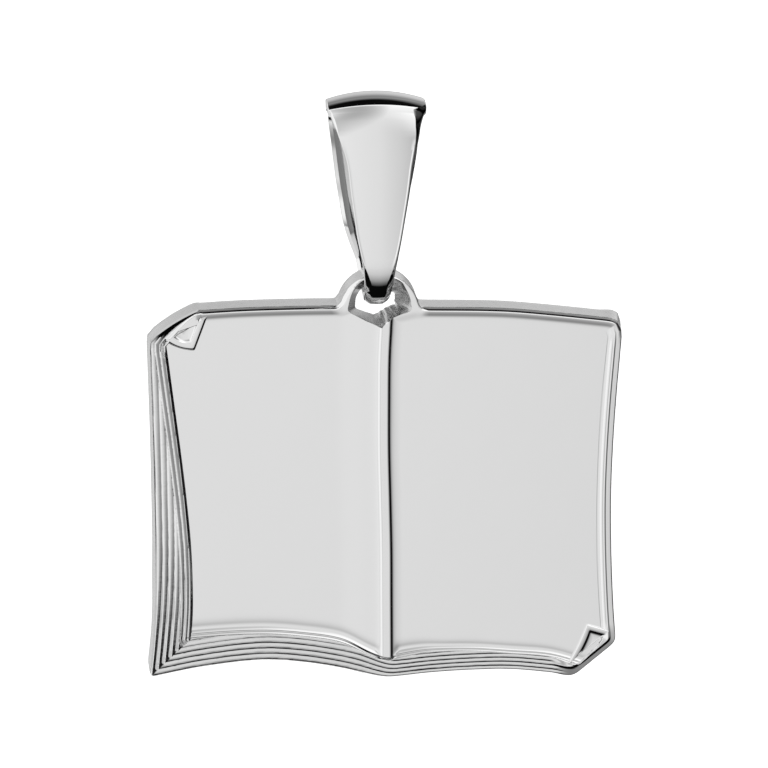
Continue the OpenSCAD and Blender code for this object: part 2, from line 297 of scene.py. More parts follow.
def at_depth(x, z, y):
    """Points from grids of x and z and from their depth y, which may be one value."""
    return np.column_stack([x.ravel(), np.broadcast_to(y, x.shape).ravel(), z.ravel()])


def loft_faces(rings):
    """Faces between closed rings of point numbers, all of one length."""
    n = len(rings[0])
    return [
        (a[i], a[(i + 1) % n], b[(i + 1) % n], b[i])
        for a, b in zip(rings, rings[1:]) for i in range(n)
    ]


def closed_loft(name, rings):
    """A body from rings of points, with a flat face at both ends."""
    n = len(rings[0])
    numbers = np.arange(len(rings) * n).reshape(-1, n).tolist()
    faces = loft_faces(numbers) + [tuple(numbers[0]), tuple(numbers[-1])]
    return mesh_object(name, np.vstack(rings), faces)


def path_length(path):
    return np.concatenate([[0], np.cumsum(np.linalg.norm(np.diff(path, axis=0), axis=1))])


def along(path, lengths):
    """Points of a polyline at the given distances along it."""
    total = path_length(path)
    return np.column_stack([np.interp(lengths, total, path[:, k]) for k in (0, 1)])


def graded(n, total):
    """n steps from 0 to total, finer near both ends."""
    t = np.linspace(0, 1, n + 1)
    return total * (t - 0.8 * np.sin(2 * np.pi * t) / (2 * np.pi))


def middle(line):
    return (np.array(line[0]) + np.array(line[1])) / 2


def steps_between(start, end, step=0.02):
    return np.arange(start, end, step if end > start else -step)


def side_of(table, start, end, column=1):
    """Part of a left or right edge between two drops."""
    drops = steps_between(start, end)
    return np.column_stack([table_curve(table, drops, column), -drops])


def edge_of(table, start, end, column=1):
    """Part of a top or bottom edge between two values of x."""
    xs = steps_between(start, end)
    return np.column_stack([xs, -table_curve(table, xs, column)])


def segment(a, b, out=0.0, step=0.02):
    """A line from a to b, which may bow to its left."""
    a, b = np.array(a), np.array(b)
    f = np.linspace(0, 1, max(2, int(np.linalg.norm(b - a) / step)))[:, None]
    side = np.array([-(b - a)[1], (b - a)[0]]) / np.linalg.norm(b - a)
    return a * (1 - f) + b * f + side * out * 4 * f * (1 - f)


def round_corner(a, corner, b, n=24):
    """Halves of a rounding from a to b, which turns inside the corner."""
    t = np.linspace(0, 1, 2 * n)[:, None]
    curve = (1 - t) ** 2 * np.array(a) + 2 * t * (1 - t) * np.array(corner) + t**2 * np.array(b)
    return curve[:n], curve[n:]


# Where the loop's arch leaves the top edge, (x, angle), and the two plain corners
LOOP_LEFT = (-1.56, 12.0)
LOOP_RIGHT = (2.13, 6.5)
TOP_RIGHT = np.array([11.69, -10.37])
BOTTOM_LEFT = np.array([-10.22, -27.58])
# Bow of the top left cut, and size of the top right corner's rounding
CUT_BOW = 0.12
CORNER_R = 0.7


def sharp_outline():
    """The four sides before their corners are rounded: top, right, bottom and left."""
    arc = np.radians(np.linspace(180 - LOOP_LEFT[1], LOOP_RIGHT[1], 260))
    loop = np.column_stack([LOOP_X + LOOP_R * np.cos(arc), LOOP_R * np.sin(arc)])
    loop[:, 1] -= LOOP_TOP + LOOP_R
    cut = segment(TOP_LEFT_CUT[1], TOP_LEFT_CUT[0], CUT_BOW, 0.0172)
    half = len(cut) // 2
    to_corner = edge_of(TOP_EDGE, LOOP_RIGHT[0], TOP_RIGHT[0] - CORNER_R)
    from_corner = side_of(RIGHT_SIDE, CORNER_R - TOP_RIGHT[1], -BOTTOM_RIGHT_CUT[0][1])
    corner_start, corner_end = round_corner(to_corner[-1], TOP_RIGHT, from_corner[0])
    top = np.vstack([
        cut[half:],
        edge_of(TOP_EDGE, TOP_LEFT_CUT[0][0], LOOP_LEFT[0]),
        loop,
        to_corner,
        corner_start[1:],
    ])
    right = np.vstack([
        corner_end[:-1],
        from_corner,
        segment(BOTTOM_RIGHT_CUT[0], middle(BOTTOM_RIGHT_CUT)),
    ])
    bottom = np.vstack([
        segment(middle(BOTTOM_RIGHT_CUT), BOTTOM_RIGHT_CUT[1]),
        edge_of(BOTTOM_EDGE, BOTTOM_RIGHT_CUT[1][0], BOTTOM_LEFT[0]),
    ])
    left = np.vstack([
        side_of(LEFT_SIDE, -BOTTOM_LEFT[1], -TOP_LEFT_CUT[1][1]),
        cut[:half],
    ])
    return top, right, bottom, left


# Passes that smooth the outline, and the corners where they work harder: place and radius
SMOOTHINGS = 130
ROUND_CORNERS = [
    (TOP_RIGHT, 0.9), (BOTTOM_LEFT, 0.8), (np.array(TOP_LEFT_CUT[1]), 1.0),
    (np.array(BOTTOM_RIGHT_CUT[0]), 1.0), (np.array(BOTTOM_RIGHT_CUT[1]), 1.0),
]


def rounded_outline():
    """The closed outline with every corner rounded, and where each side starts in it."""
    sides = sharp_outline()
    starts = np.concatenate([[0], np.cumsum([len(s) for s in sides])])
    points = np.vstack(sides)
    weight = np.full(len(points), 0.3)
    for corner, radius in ROUND_CORNERS:
        weight[np.linalg.norm(points - corner, axis=1) < radius] = 1.0
    for _ in range(SMOOTHINGS):
        points = points + 0.5 * weight[:, None] * (
            np.roll(points, 1, axis=0) + np.roll(points, -1, axis=0) - 2 * points
        )
    return points, starts


def matched(inner_path, inner_at, outer_path, anchors):
    """Points of the outer path that belong to those of the inner one, between anchor pairs."""
    inner_len, outer_len = path_length(inner_path), path_length(outer_path)
    pairs = [(0, 0)]
    for inner, outer in anchors:
        i = np.argmin(np.linalg.norm(inner_path - inner, axis=1))
        o = np.argmin(np.linalg.norm(outer_path - outer, axis=1))
        pairs.append((inner_len[i], outer_len[o]))
    pairs.append((inner_len[-1], outer_len[-1]))
    a, b = np.array(pairs).T
    return along(outer_path, np.interp(inner_at, a, b))


# Grid of the pages and the spine: the page's height, and its part with the finest rows
PAGE_HEIGHT = 15.5
CURLED_PART = 0.27
PAGE_COLUMNS = 64
SPINE_COLUMNS = 46
RINGS = 84
SPINE_HALF = 0.45
CUT_MARGIN = 0.35
# Corners of the page area
PAGE_TL = middle(TOP_LEFT_CUT) + CUT_MARGIN * np.array([0.575, -0.818])
PAGE_BR = middle(BOTTOM_RIGHT_CUT) + CUT_MARGIN * np.array([-0.734, 0.68])
PAGE_BL = np.array([-8.3, -25.72])
PAGE_TR = np.array([11.0, -10.9])
PAGE_CORNER_R = 0.4
# Where the straight edges end at both cut corners, (x, z), and the loop's feet on the top edge
TOP_LEFT_ENDS = (-8.0, -11.42)
BOTTOM_RIGHT_ENDS = (10.1, -26.1)
LOOP_FEET = (-1.5, 2.3)


def page_paths():
    """The page area's four sides, as paths that run right or down."""
    xs = steps_between(TOP_LEFT_ENDS[0], PAGE_TR[0] - PAGE_CORNER_R)
    to_corner = np.column_stack([xs, -page_top_drop(xs)])
    right_down = side_of(RIGHT_SIDE, PAGE_CORNER_R - PAGE_TR[1], -BOTTOM_RIGHT_ENDS[1], 2)
    corner_start, corner_end = round_corner(to_corner[-1], PAGE_TR, right_down[0])
    top = np.vstack([segment(PAGE_TL, to_corner[0]), to_corner, corner_start[1:]])
    left = np.vstack([
        segment(PAGE_TL, (-9.6, TOP_LEFT_ENDS[1])),
        side_of(LEFT_SIDE, 11.44, -PAGE_BL[1], 2),
        [PAGE_BL],
    ])
    bottom = np.vstack([
        [PAGE_BL],
        edge_of(BOTTOM_EDGE, PAGE_BL[0] + 0.02, BOTTOM_RIGHT_ENDS[0], 2),
        segment((10.12, -27.34), PAGE_BR),
    ])
    to_cut = segment((11.12, -26.14), PAGE_BR)
    right = np.vstack([corner_start[-1:], corner_end[:-1], right_down, to_cut])
    return top, left, bottom, right


def split_at_spine(path, spine_x):
    """Distances along a top or bottom path of every column."""
    total = path_length(path)
    left = np.interp(spine_x - SPINE_HALF, path[:, 0], total)
    right = np.interp(spine_x + SPINE_HALF, path[:, 0], total)
    return np.concatenate([
        graded(PAGE_COLUMNS, left)[:-1],
        np.linspace(left, right, SPINE_COLUMNS + 1),
        right + graded(PAGE_COLUMNS, total[-1] - right)[1:],
    ])


def page_rows():
    """Fractions down the page of every row: fine at the bottom, where the sheets curl."""
    up = [0.0]
    while up[-1] < PAGE_HEIGHT:
        coarse = min(0.014 + 0.08 * max(0, up[-1] - 0.6), 0.3)
        up.append(up[-1] + (0.009 if up[-1] < CURLED_PART else coarse))
    up = np.array(up) / up[-1]
    return 1 - up[::-1]


def page_grid():
    """Points of the page area in rows, and the four sides with their station distances."""
    top, left, bottom, right = page_paths()
    top_at = split_at_spine(top, table_curve(SPINE, 10.9))
    bottom_at = split_at_spine(bottom, table_curve(SPINE, 27))
    rows = page_rows()
    left_at = rows * path_length(left)[-1]
    right_at = rows * path_length(right)[-1]
    over, under = along(top, top_at), along(bottom, bottom_at)
    start, end = along(left, left_at), along(right, right_at)
    u = (mix(top_at / top_at[-1], bottom_at / bottom_at[-1], 0.5))[None, :, None]
    v = rows[:, None, None]
    grid = (
        (1 - v) * over[None] + v * under[None] + (1 - u) * start[:, None] + u * end[:, None]
        - (1 - u) * (1 - v) * over[0] - u * (1 - v) * over[-1]
        - (1 - u) * v * under[0] - u * v * under[-1]
    )
    # The spine's columns follow its bow, and the pages' columns give way on both sides
    middle_column = PAGE_COLUMNS + SPINE_COLUMNS // 2
    shift = table_curve(SPINE, -grid[:, middle_column, 1]) - grid[:, middle_column, 0]
    shift[0] = shift[-1] = 0
    columns = np.arange(len(top_at))
    left_share = np.clip(columns / PAGE_COLUMNS, 0, 1)
    right_share = np.clip((len(columns) - 1 - columns) / PAGE_COLUMNS, 0, 1)
    grid[:, :, 0] += shift[:, None] * np.minimum(left_share, right_share)[None]
    return grid, (top, left, bottom, right), (top_at, left_at, bottom_at, right_at)


# The groove beside the top left cut: its width by x, its slope and its level at the outline
WEDGE = ((-9.8, -9.2, -8.65, -8.1), (0.45, 0.27, 0.14, 0.06))
WEDGE_SLOPE = 0.42
WEDGE_TOP = 0.11
# Level of the bottom stack above the page, and its bands: pitch on the left and the right, relief
CURL_TOP = float(page_curl(0))
BAND_PITCH = (0.275, 0.205)
BAND_RELIEF = 0.02
# Sheets of the left stack: those along the outline, the two along the page, and the step to it
REED_PITCH = 0.28
REED_START = 0.06
SHEET_PITCH = 0.22
STEP_W = 0.14
STEP_H = 0.13


def sheet_scale(x):
    """The curled sheets are thinner on the right page."""
    return mix(1, 0.7, ramp(x, 1.5, 4))


def spine_height(x, z):
    off = x - table_curve(SPINE, -z)
    start = SPINE_SECTION[0][0]
    height = spine_ridge(off) - SPINE_START * ramp(off, -0.9, start)
    return np.where((off < start) | (off > SPINE_SECTION[-1][0]), 0, height)


def page_height(x, z):
    """Height of the pages and of the spine between them, above the page's own level."""
    above = z + table_curve(BOTTOM_EDGE, x, 2)
    scale = sheet_scale(x)
    curl = scale * page_curl(np.maximum(above, 0) / scale)
    spine = spine_height(x, z)
    off = np.abs(x - table_curve(SPINE, -z))
    return curl * ramp(off, 0.25, 0.6) + spine * ramp(above, 0.0, 0.2)


def reed(f, sharp=0.0):
    """One sheet's edge: a short steep flank on the left, a long one on the right, round or flat."""
    crest = 0.26
    rise = np.sin(0.5 * np.pi * np.clip(f / crest, 0, 1))
    run = np.clip((f - crest) / (1 - crest), 0, 1)
    fall = mix(np.cos(0.5 * np.pi * run), 1 - run, sharp)
    return np.where(f < crest, rise, fall)


def left_stack(x, z, b):
    """Sheets that follow the outline, then two that follow the page, then the step to the page."""
    a = x - table_curve(LEFT_SIDE, -z)
    relief = mix(0.044, 0.115, ramp(-z, 19, 27))
    outer = relief * reed(np.mod((a - REED_START) / REED_PITCH, 1), ramp(-z, 22, 26))
    outer = np.where(a < REED_START, 0.8 * (REED_START - a), outer)
    from_step = 2 * SHEET_PITCH + STEP_W - b
    deep = mix(0.05, 0.09, ramp(-z, 20, 25))
    inner = STEP_H - deep + deep * reed(np.mod(from_step / SHEET_PITCH, 1), 0.5)
    step = STEP_H * np.clip(b / STEP_W, 0, 1)
    stack = np.where(from_step < 0, outer + 0.02 * ramp(b, 1.0, 0.58), inner)
    return np.where(b < STEP_W, step, stack)


def bottom_stack(x, z, b):
    """Low round bands that follow the bottom outline."""
    a = z + table_curve(BOTTOM_EDGE, x, 1)
    on_right = ramp(x, -0.5, 1.5)
    band = (a - mix(0.05, -0.01, on_right)) / mix(*BAND_PITCH, on_right)
    relief = BAND_RELIEF * (np.abs(np.sin(np.pi * band)) ** 0.6 * ramp(b, 0, 0.03) - 1)
    lean = 0.07 * (np.clip(a, 0, 1.1) - 1.1)
    return sheet_scale(x) * CURL_TOP + relief + lean + edge_rounding(a, 0.1)


def stack_notch(x, z):
    """Depth of the notch that parts the top of the left stack from the page's rolled edge."""
    down = np.clip((-z - 11.0) / 0.85, 0, 1)
    half_w = mix(0.17, 0.03, down)
    off = np.abs(x - mix(-9.88, -9.72, down))
    return 0.22 * np.clip(1 - off / half_w, 0, 1) * ramp(-z, 11.02, 11.2) * ramp(-z, 11.95, 11.7)


def cut_rim(a, b, x):
    """A bevel, a steep line and the way back down to the page, beside the bottom right cut."""
    w = mix(0.36, 0.22, ramp(x, 9.6, 10.4))
    rise = 0.04 + 0.17 * np.clip(a, 0, w) + edge_rounding(a, 0.04)
    line = 0.47 * np.clip(a - w, 0, 0.13)
    back_down = 0.42 * np.clip(a - w - 0.15, 0, 0.5)
    inner_side = np.maximum(rise + line - back_down, 0) * ramp(b, 0, 0.06)
    return np.where(a < w + 0.15, rise + line, inner_side)


def edge_rounding(a, r):
    """Drop of an edge that is rounded with radius r, at distance a from the outline."""
    a = np.clip(a, 0, r)
    return np.sqrt(np.maximum(r * r - (r - a) ** 2, 0)) - r


def border_height(kind, a, b, x, z):
    """Height above the page between the outline (a is the way from it) and the page (b to it)."""
    if kind in ("top", "right"):
        rim = mix(top_rim(a), right_rim(a), ramp(x - z, *RIM_TURN))
        return mix(rim, cut_rim(a, b, x), ramp(z, -25.3, -26))
    if kind == "loop":
        face = 0.03 * ramp(b, 0, 0.5)
        ring = face + edge_rounding(a, mix(0.2, 0.07, ramp(x, 0.2, 1.2)))
        groove = 0.8 * np.clip(a - 0.09, 0, 0.05) - 0.45 * np.clip(a, 0, 0.09)
        ring = ring + groove * ramp(x, -0.6, -1.1)
        return np.maximum(ring, np.where(b < 0.5, spine_height(x, z), -1))
    if kind == "left":
        return left_stack(x, z, b) - stack_notch(x, z)
    if kind == "bottom":
        return mix(bottom_stack(x, z, b), cut_rim(a, b, x), ramp(x, 8.7, 9.5))
    if kind == "cut_tl":
        wedge = np.interp(x, *WEDGE)
        depth = WEDGE_SLOPE * wedge
        groove = WEDGE_TOP - WEDGE_SLOPE * np.clip(a, 0, wedge) + np.clip(a - wedge, 0, depth)
        sheets = ramp(z, -11.15, -11.3) * ramp(x, -9.84, -9.92)
        page = mix(0, groove, ramp(b, -0.02, 0.06))
        return mix(page, left_stack(x, z, b), sheets) - stack_notch(x, z)
    return cut_rim(a, b, x)


def way_from(path, grid):
    """Distance of each point of a grid from a path."""
    tree = KDTree(len(path))
    for i, p in enumerate(path):
        tree.insert((*p, 0), i)
    tree.balance()
    ways = [tree.find((*p, 0))[2] for p in grid.reshape(-1, 2)]
    return np.array(ways).reshape(grid.shape[:2])


def book_stations(grid, paths, at):
    """Stations round the book, clockwise from the top left: kind, inner point, outer point."""
    outline, starts = rounded_outline()
    closed = np.vstack([outline, outline[:1]])
    outer_top, outer_right, outer_bottom, outer_left = (
        closed[a:b + 1] for a, b in zip(starts, starts[1:])
    )
    top, left, bottom, right = paths
    top_at, left_at, bottom_at, right_at = at
    # Pairs of places on the page's edge and on the outline that belong together
    outer = {
        "top": matched(top, top_at, outer_top, [
            ((TOP_LEFT_ENDS[0], -10.35), TOP_LEFT_CUT[0]),
            ((LOOP_FEET[0], -10.2), (-1.75, -9.58)), ((LOOP_FEET[1], -10.35), (2.32, -9.77)),
            ((10.0, -10.8), (10.3, -10.2)), ((10.6, -10.93), (11.14, -10.3)),
        ]),
        "left": matched(left, left_at, outer_left[::-1], [
            ((-9.6, TOP_LEFT_ENDS[1]), TOP_LEFT_CUT[1]), ((-9.4, -13), (-10.24, -13)),
            ((-8.23, -24.2), (-9.94, -24.6)),
        ])[::-1],
        "bottom": matched(bottom, bottom_at, outer_bottom[::-1], [
            ((-6.8, -25.6), (-7.5, -27.07)), ((9.0, -27.03), (9.0, -27.88)),
            ((10.1, -27.33), BOTTOM_RIGHT_CUT[1]),
        ])[::-1],
        "right": matched(right, right_at, outer_right, [
            ((10.97, -11.3), (11.66, -10.95)), ((10.9, -12.2), (11.6, -12)),
            ((11.1, -25.9), (11.8, -25.8)),
        ]),
    }
    numbers = np.arange(grid.size // 2).reshape(grid.shape[:2])
    inner = {
        "top": numbers[0], "right": numbers[:, -1],
        "bottom": numbers[-1, ::-1], "left": numbers[::-1, 0],
    }
    # Every side ends where the next one starts
    kinds = np.concatenate([[side] * (len(inner[side]) - 1) for side in inner])
    inner_index = np.concatenate([inner[side][:-1] for side in inner])
    inner_points = grid.reshape(-1, 2)[inner_index]
    outer_points = np.vstack([outer[side][:-1] for side in inner])
    x, z = inner_points.T
    on_top, on_left, on_bottom, on_right = (
        kinds == side for side in ("top", "left", "bottom", "right")
    )
    kinds[on_top & (x > LOOP_FEET[0]) & (x < LOOP_FEET[1])] = "loop"
    end_x, end_z = TOP_LEFT_ENDS
    kinds[(on_top & (x < end_x)) | (on_left & (z > end_z))] = "cut_tl"
    end_x, end_z = BOTTOM_RIGHT_ENDS
    kinds[(on_bottom & (x > end_x)) | (on_right & (z < end_z))] = "cut_br"
    return kinds, inner_points, outer_points, inner_index.tolist(), outline


def book_plate():
    """The plate with its rims, its pages and its spine: one closed mesh."""
    grid, paths, at = page_grid()
    rows, columns = grid.shape[:2]
    kinds, inner_points, outer_points, inner_index, outline = book_stations(grid, paths, at)
    n = len(kinds)
    top, left, bottom, right = paths

    f = np.linspace(0, 1, RINGS + 1)[:-1]
    f = f * (0.3 + 0.7 * ramp(f, -0.05, 0.12))
    border = mix(outer_points[None], inner_points[None], f[:, None, None])
    a = way_from(outline, border)
    b = way_from(np.vstack([top, right, bottom[::-1], left[::-1]]), border)
    x, z = border[:, :, 0], border[:, :, 1]
    height = np.zeros_like(x)
    for kind in sorted(set(kinds)):
        pick = kinds == kind
        height[:, pick] = border_height(kind, a[:, pick], b[:, pick], x[:, pick], z[:, pick])

    page = page_height(grid[:, :, 0], grid[:, :, 1])
    points = [
        at_depth(grid[:, :, 0], grid[:, :, 1], PAGE_Y - page),
        at_depth(x, z, PAGE_Y - height),
    ]

    # Side wall, which widens a little to the back, and its small rounding there
    low_left = ramp(outer_points[:, 0], -8.5, -9.9) * ramp(outer_points[:, 1], -22.5, -26)
    corner = ramp(np.linalg.norm(outer_points - TOP_RIGHT, axis=1), 1.1, 0.3)
    draft = mix(mix(DRAFT, LOW_LEFT_DRAFT, low_left), TOP_RIGHT_DRAFT, corner)
    wall = [(-draft * k / 4, mix(FRONT_Y + WALL_FROM, BACK_Y - BACK_R, k / 4)) for k in range(5)]
    wall += [
        (BACK_R * (1 - math.cos(t)) - draft, BACK_Y - BACK_R + BACK_R * math.sin(t))
        for t in np.radians((22.5, 45, 67.5, 90))
    ]
    wall += [(np.full(n, BACK_INSET), BACK_Y)]
    inward = inner_points - outer_points
    inward /= np.linalg.norm(inward, axis=1)[:, None]
    for inset, y in wall:
        p = outer_points + inward * inset[:, None]
        points.append(at_depth(p[:, 0], p[:, 1], y))

    faces = [
        (c, c + columns, c + columns + 1, c + 1)
        for j in range(rows - 1) for c in range(j * columns, (j + 1) * columns - 1)
    ]
    rings = np.arange((RINGS + len(wall)) * n).reshape(-1, n) + rows * columns
    rings = rings.tolist()
    faces += loft_faces(rings[:RINGS] + [inner_index])
    faces += loft_faces([rings[0]] + rings[RINGS:])
    faces.append(tuple(rings[-1]))
    return mesh_object("book", np.vstack(points), faces)


def closed_curve(corners):
    """Smooth closed curve through corners."""
    a, b, c, d = (np.roll(np.array(corners, float), k, axis=0)[:, None] for k in (1, 0, -1, -2))
    t = np.arange(16)[:, None] / 16
    curve = (
        2 * b + (c - a) * t + (2 * a - 5 * b + 4 * c - d) * t**2
        + (3 * b - a - 3 * c + d) * t**3
    )
    return 0.5 * curve.reshape(-1, 2)


def hole_cutter():
    """The loop's hole: a funnel to its waist, rough as cast on the right, then a small flare."""
    front = closed_curve(HOLE_FRONT)
    waist = closed_curve(HOLE_WAIST)
    flare = LOOP_CENTRE + (waist - LOOP_CENTRE) * BACK_FLARE
    waist_y = FRONT_Y + WAIST_AT
    face_y = PAGE_Y - 0.03
    stations = [(face_y - 0.3, mix(front, waist, -0.42)), (face_y, mix(front, waist, -0.1))]
    for f in np.arange(1, 21) / 20:
        stations.append((mix(face_y + 0.04, waist_y, f), mix(front, waist, f)))
    for f in np.arange(1, 9) / 8:
        stations.append((mix(waist_y, BACK_Y, f), mix(waist, flare, f)))
    stations.append((BACK_Y + 0.3, mix(waist, flare, 1.4)))
    rings = []
    for k, (y, outline) in enumerate(stations):
        out = outline - LOOP_CENTRE
        out /= np.linalg.norm(out, axis=1)[:, None]
        # Uneven folds that run into the hole on the right and below
        rough = ramp(outline[:, 0], -0.2, 0.6) * min(1, k / 3)
        waves = np.array([noise.noise(Vector((4.2 * q[0], 0.8 * y, 4.2 * q[1]))) for q in out])
        p = outline + out * (HOLE_ROUGHNESS * rough * waves)[:, None]
        rings.append(at_depth(p[:, 0], -p[:, 1], y))
    return closed_loft("hole", rings)


# Sections of the folded corners. Rows: way in from its edge, height above the page
TOP_FOLD_SECTION = [
    (0, -0.3), (0, 0.045), (0.02, 0.065), (0.085, 0.108), (0.1, 0.113), (0.11, 0.115),
    (0.3, 0.115), (0.31, 0.113), (0.325, 0.1), (0.36, 0.04), (0.375, 0.03), (0.46, 0.015),
    (0.6, 0.01),
]
BOTTOM_FOLD_SECTION = [
    (0, -0.3), (0, 0.01), (0.035, 0.078), (0.055, 0.108), (0.07, 0.115), (0.08, 0.116),
    (0.25, 0.098), (0.258, 0.096), (0.268, 0.09), (0.37, 0.04), (0.38, 0.036), (0.45, 0.03),
    (0.55, 0.02),
]
# Share of that way on the side of the cut, where the fold is open
OPEN_SIDE = 0.12


def page_fold(name, corners, sag, section):
    """A page corner folded over: two flat bands that meet at its tip, about a sunk panel."""
    corners = np.array(corners, float)
    centre = corners.mean(axis=0)
    steps = 40
    f = np.arange(steps)[:, None] / steps
    lines = []
    for i in range(3):
        p, q = corners[i], corners[(i + 1) % 3]
        out = np.array([(q - p)[1], -(q - p)[0]]) / np.linalg.norm(q - p)
        lines.append((out if np.dot(out, p - centre) > 0 else -out, p))
    rings = []
    for inset, height in section:
        ways = [np.dot(out, p) - inset * (OPEN_SIDE if i == 0 else 1)
                for i, (out, p) in enumerate(lines)]
        tips = [
            np.linalg.solve(np.array([lines[i - 1][0], lines[i][0]]), (ways[i - 1], ways[i]))
            for i in range(3)
        ]
        p = np.vstack([
            tips[i] * (1 - f) + tips[(i + 1) % 3] * f + lines[i][0] * (sag[i] * 4 * f * (1 - f))
            for i in range(3)
        ])
        for _ in range(4):
            p = 0.5 * p + 0.25 * (np.roll(p, 1, axis=0) + np.roll(p, -1, axis=0))
        ends = np.minimum(f, 1 - f)[:, 0]
        low = 1 - 0.75 * ramp(ends, 0, 0.2)
        share = np.concatenate([low, np.ones(2 * steps)]) if height > 0.03 else 1.0
        rings.append(at_depth(p[:, 0], p[:, 1], PAGE_Y - height * share))
    return closed_loft(name, rings)


# The folds: corners, two at the cut and then the tip, and how far each side bows outwards
TOP_LEFT_FOLD = ([(-9.68, -11.16), (-7.72, -9.98), (-8.3, -11.64)], (0, 0, 0.11))
BOTTOM_RIGHT_FOLD = ([(9.46, -27.46), (11.56, -25.7), (10.38, -25.34)], (0, 0, -0.05))


def make_book():
    book = book_plate()
    boolean(book, page_fold("fold_top", *TOP_LEFT_FOLD, TOP_FOLD_SECTION), "UNION")
    boolean(book, page_fold("fold_bottom", *BOTTOM_RIGHT_FOLD, BOTTOM_FOLD_SECTION), "UNION")
    boolean(book, hole_cutter(), "DIFFERENCE")
    polish(book, 32)
    return book


def node(tree, kind, inputs=None, **settings):
    """Adds a node with its settings; inputs are values or sockets to link from."""
    made = tree.nodes.new(kind)
    for key, value in settings.items():
        setattr(made, key, value)
    for key, value in (inputs or {}).items():
        socket = made.inputs[key]
        if isinstance(value, bpy.types.NodeSocket):
            tree.links.new(value, socket)
        else:
            socket.default_value = value
    return made


def calc(tree, operation, a, b):
    """Result of a calculation with two values or sockets."""
    return node(tree, "ShaderNodeMath", {0: a, 1: b}, operation=operation).outputs[0]


def fade(tree, value, start, end, low=0.0, high=1.0, smooth=False):
    """Turns a value that runs from start to end into one from low to high."""
    return node(tree, "ShaderNodeMapRange", {
        "Value": value, "From Min": start, "From Max": end, "To Min": low, "To Max": high,
    }, interpolation_type="SMOOTHSTEP" if smooth else "LINEAR").outputs[0]


def face_profile(rows, start, step):
    """Side view of a face as (y, z) points, from rows of (way along it, tilt upwards)."""
    at, tilt = np.array(rows, float).T
    tilt = np.radians(np.interp(np.arange(0, at[-1], step), at, tilt))
    y = start[0] - np.cumsum(np.sin(tilt)) * step
    z = start[1] - np.cumsum(np.cos(tilt)) * step
    return np.vstack([[start], np.column_stack([y, z])])


def reach(place, outward, profile):
    """How far a station lies inside a profile, along its outward direction."""
    off = profile - place
    across = off[:, 0] * outward[1] - off[:, 1] * outward[0]
    ahead = off @ outward
    crossings = np.where(across[:-1] * across[1:] <= 0)[0]
    k = crossings[np.argmin(np.abs(ahead[crossings]))]
    return mix(ahead[k], ahead[k + 1], across[k] / (across[k] - across[k + 1]))


def bail_outline():
    """The bail's inside from the side. Rows: y, z, outward y, outward z, 1 on the back leg."""
    top_z, low_z = -TOP_BEND_R, -BAIL_INSIDE_H + LOW_BEND_R
    side_a, side_b = LEG_GAP - LOW_BEND_R, LEG_GAP - TOP_BEND_R
    qa = side_a - side_b
    qb = 2 * (side_b * low_z - side_a * top_z)
    qc = side_a * (LEG_GAP**2 - TOP_BEND_R**2 + top_z**2)
    qc -= side_b * (LEG_GAP**2 - LOW_BEND_R**2 + low_z**2)
    side_z = (-qb - math.sqrt(qb * qb - 4 * qa * qc)) / (2 * qa)
    side_r = (LEG_GAP**2 - TOP_BEND_R**2 + (side_z - top_z) ** 2) / (2 * side_b)
    side_y = LEG_GAP - side_r
    top_angle = math.degrees(math.asin((top_z - side_z) / (side_r - TOP_BEND_R)))
    low_angle = math.degrees(math.asin((low_z - side_z) / (side_r - LOW_BEND_R)))
    rows = []

    def arc(cy, cz, r, start, end, n, back_leg):
        for i in range(n):
            t = math.radians(mix(start, end, i / n))
            rows.append((cy + r * math.cos(t), cz + r * math.sin(t), math.cos(t), math.sin(t),
                         back_leg))

    arc(side_y, side_z, side_r, low_angle, top_angle, 70, 1)
    arc(0, top_z, TOP_BEND_R, top_angle, 90, 36, 1)
    arc(0, top_z, TOP_BEND_R, 90, 180 - top_angle, 110, 0)
    arc(-side_y, side_z, side_r, 180 - top_angle, 180 - low_angle, 80, 0)
    arc(0, low_z, LOW_BEND_R, 180 - low_angle, 270, 44, 0)
    arc(0, low_z, LOW_BEND_R, 270, 360 + low_angle, 40, 1)
    return rows


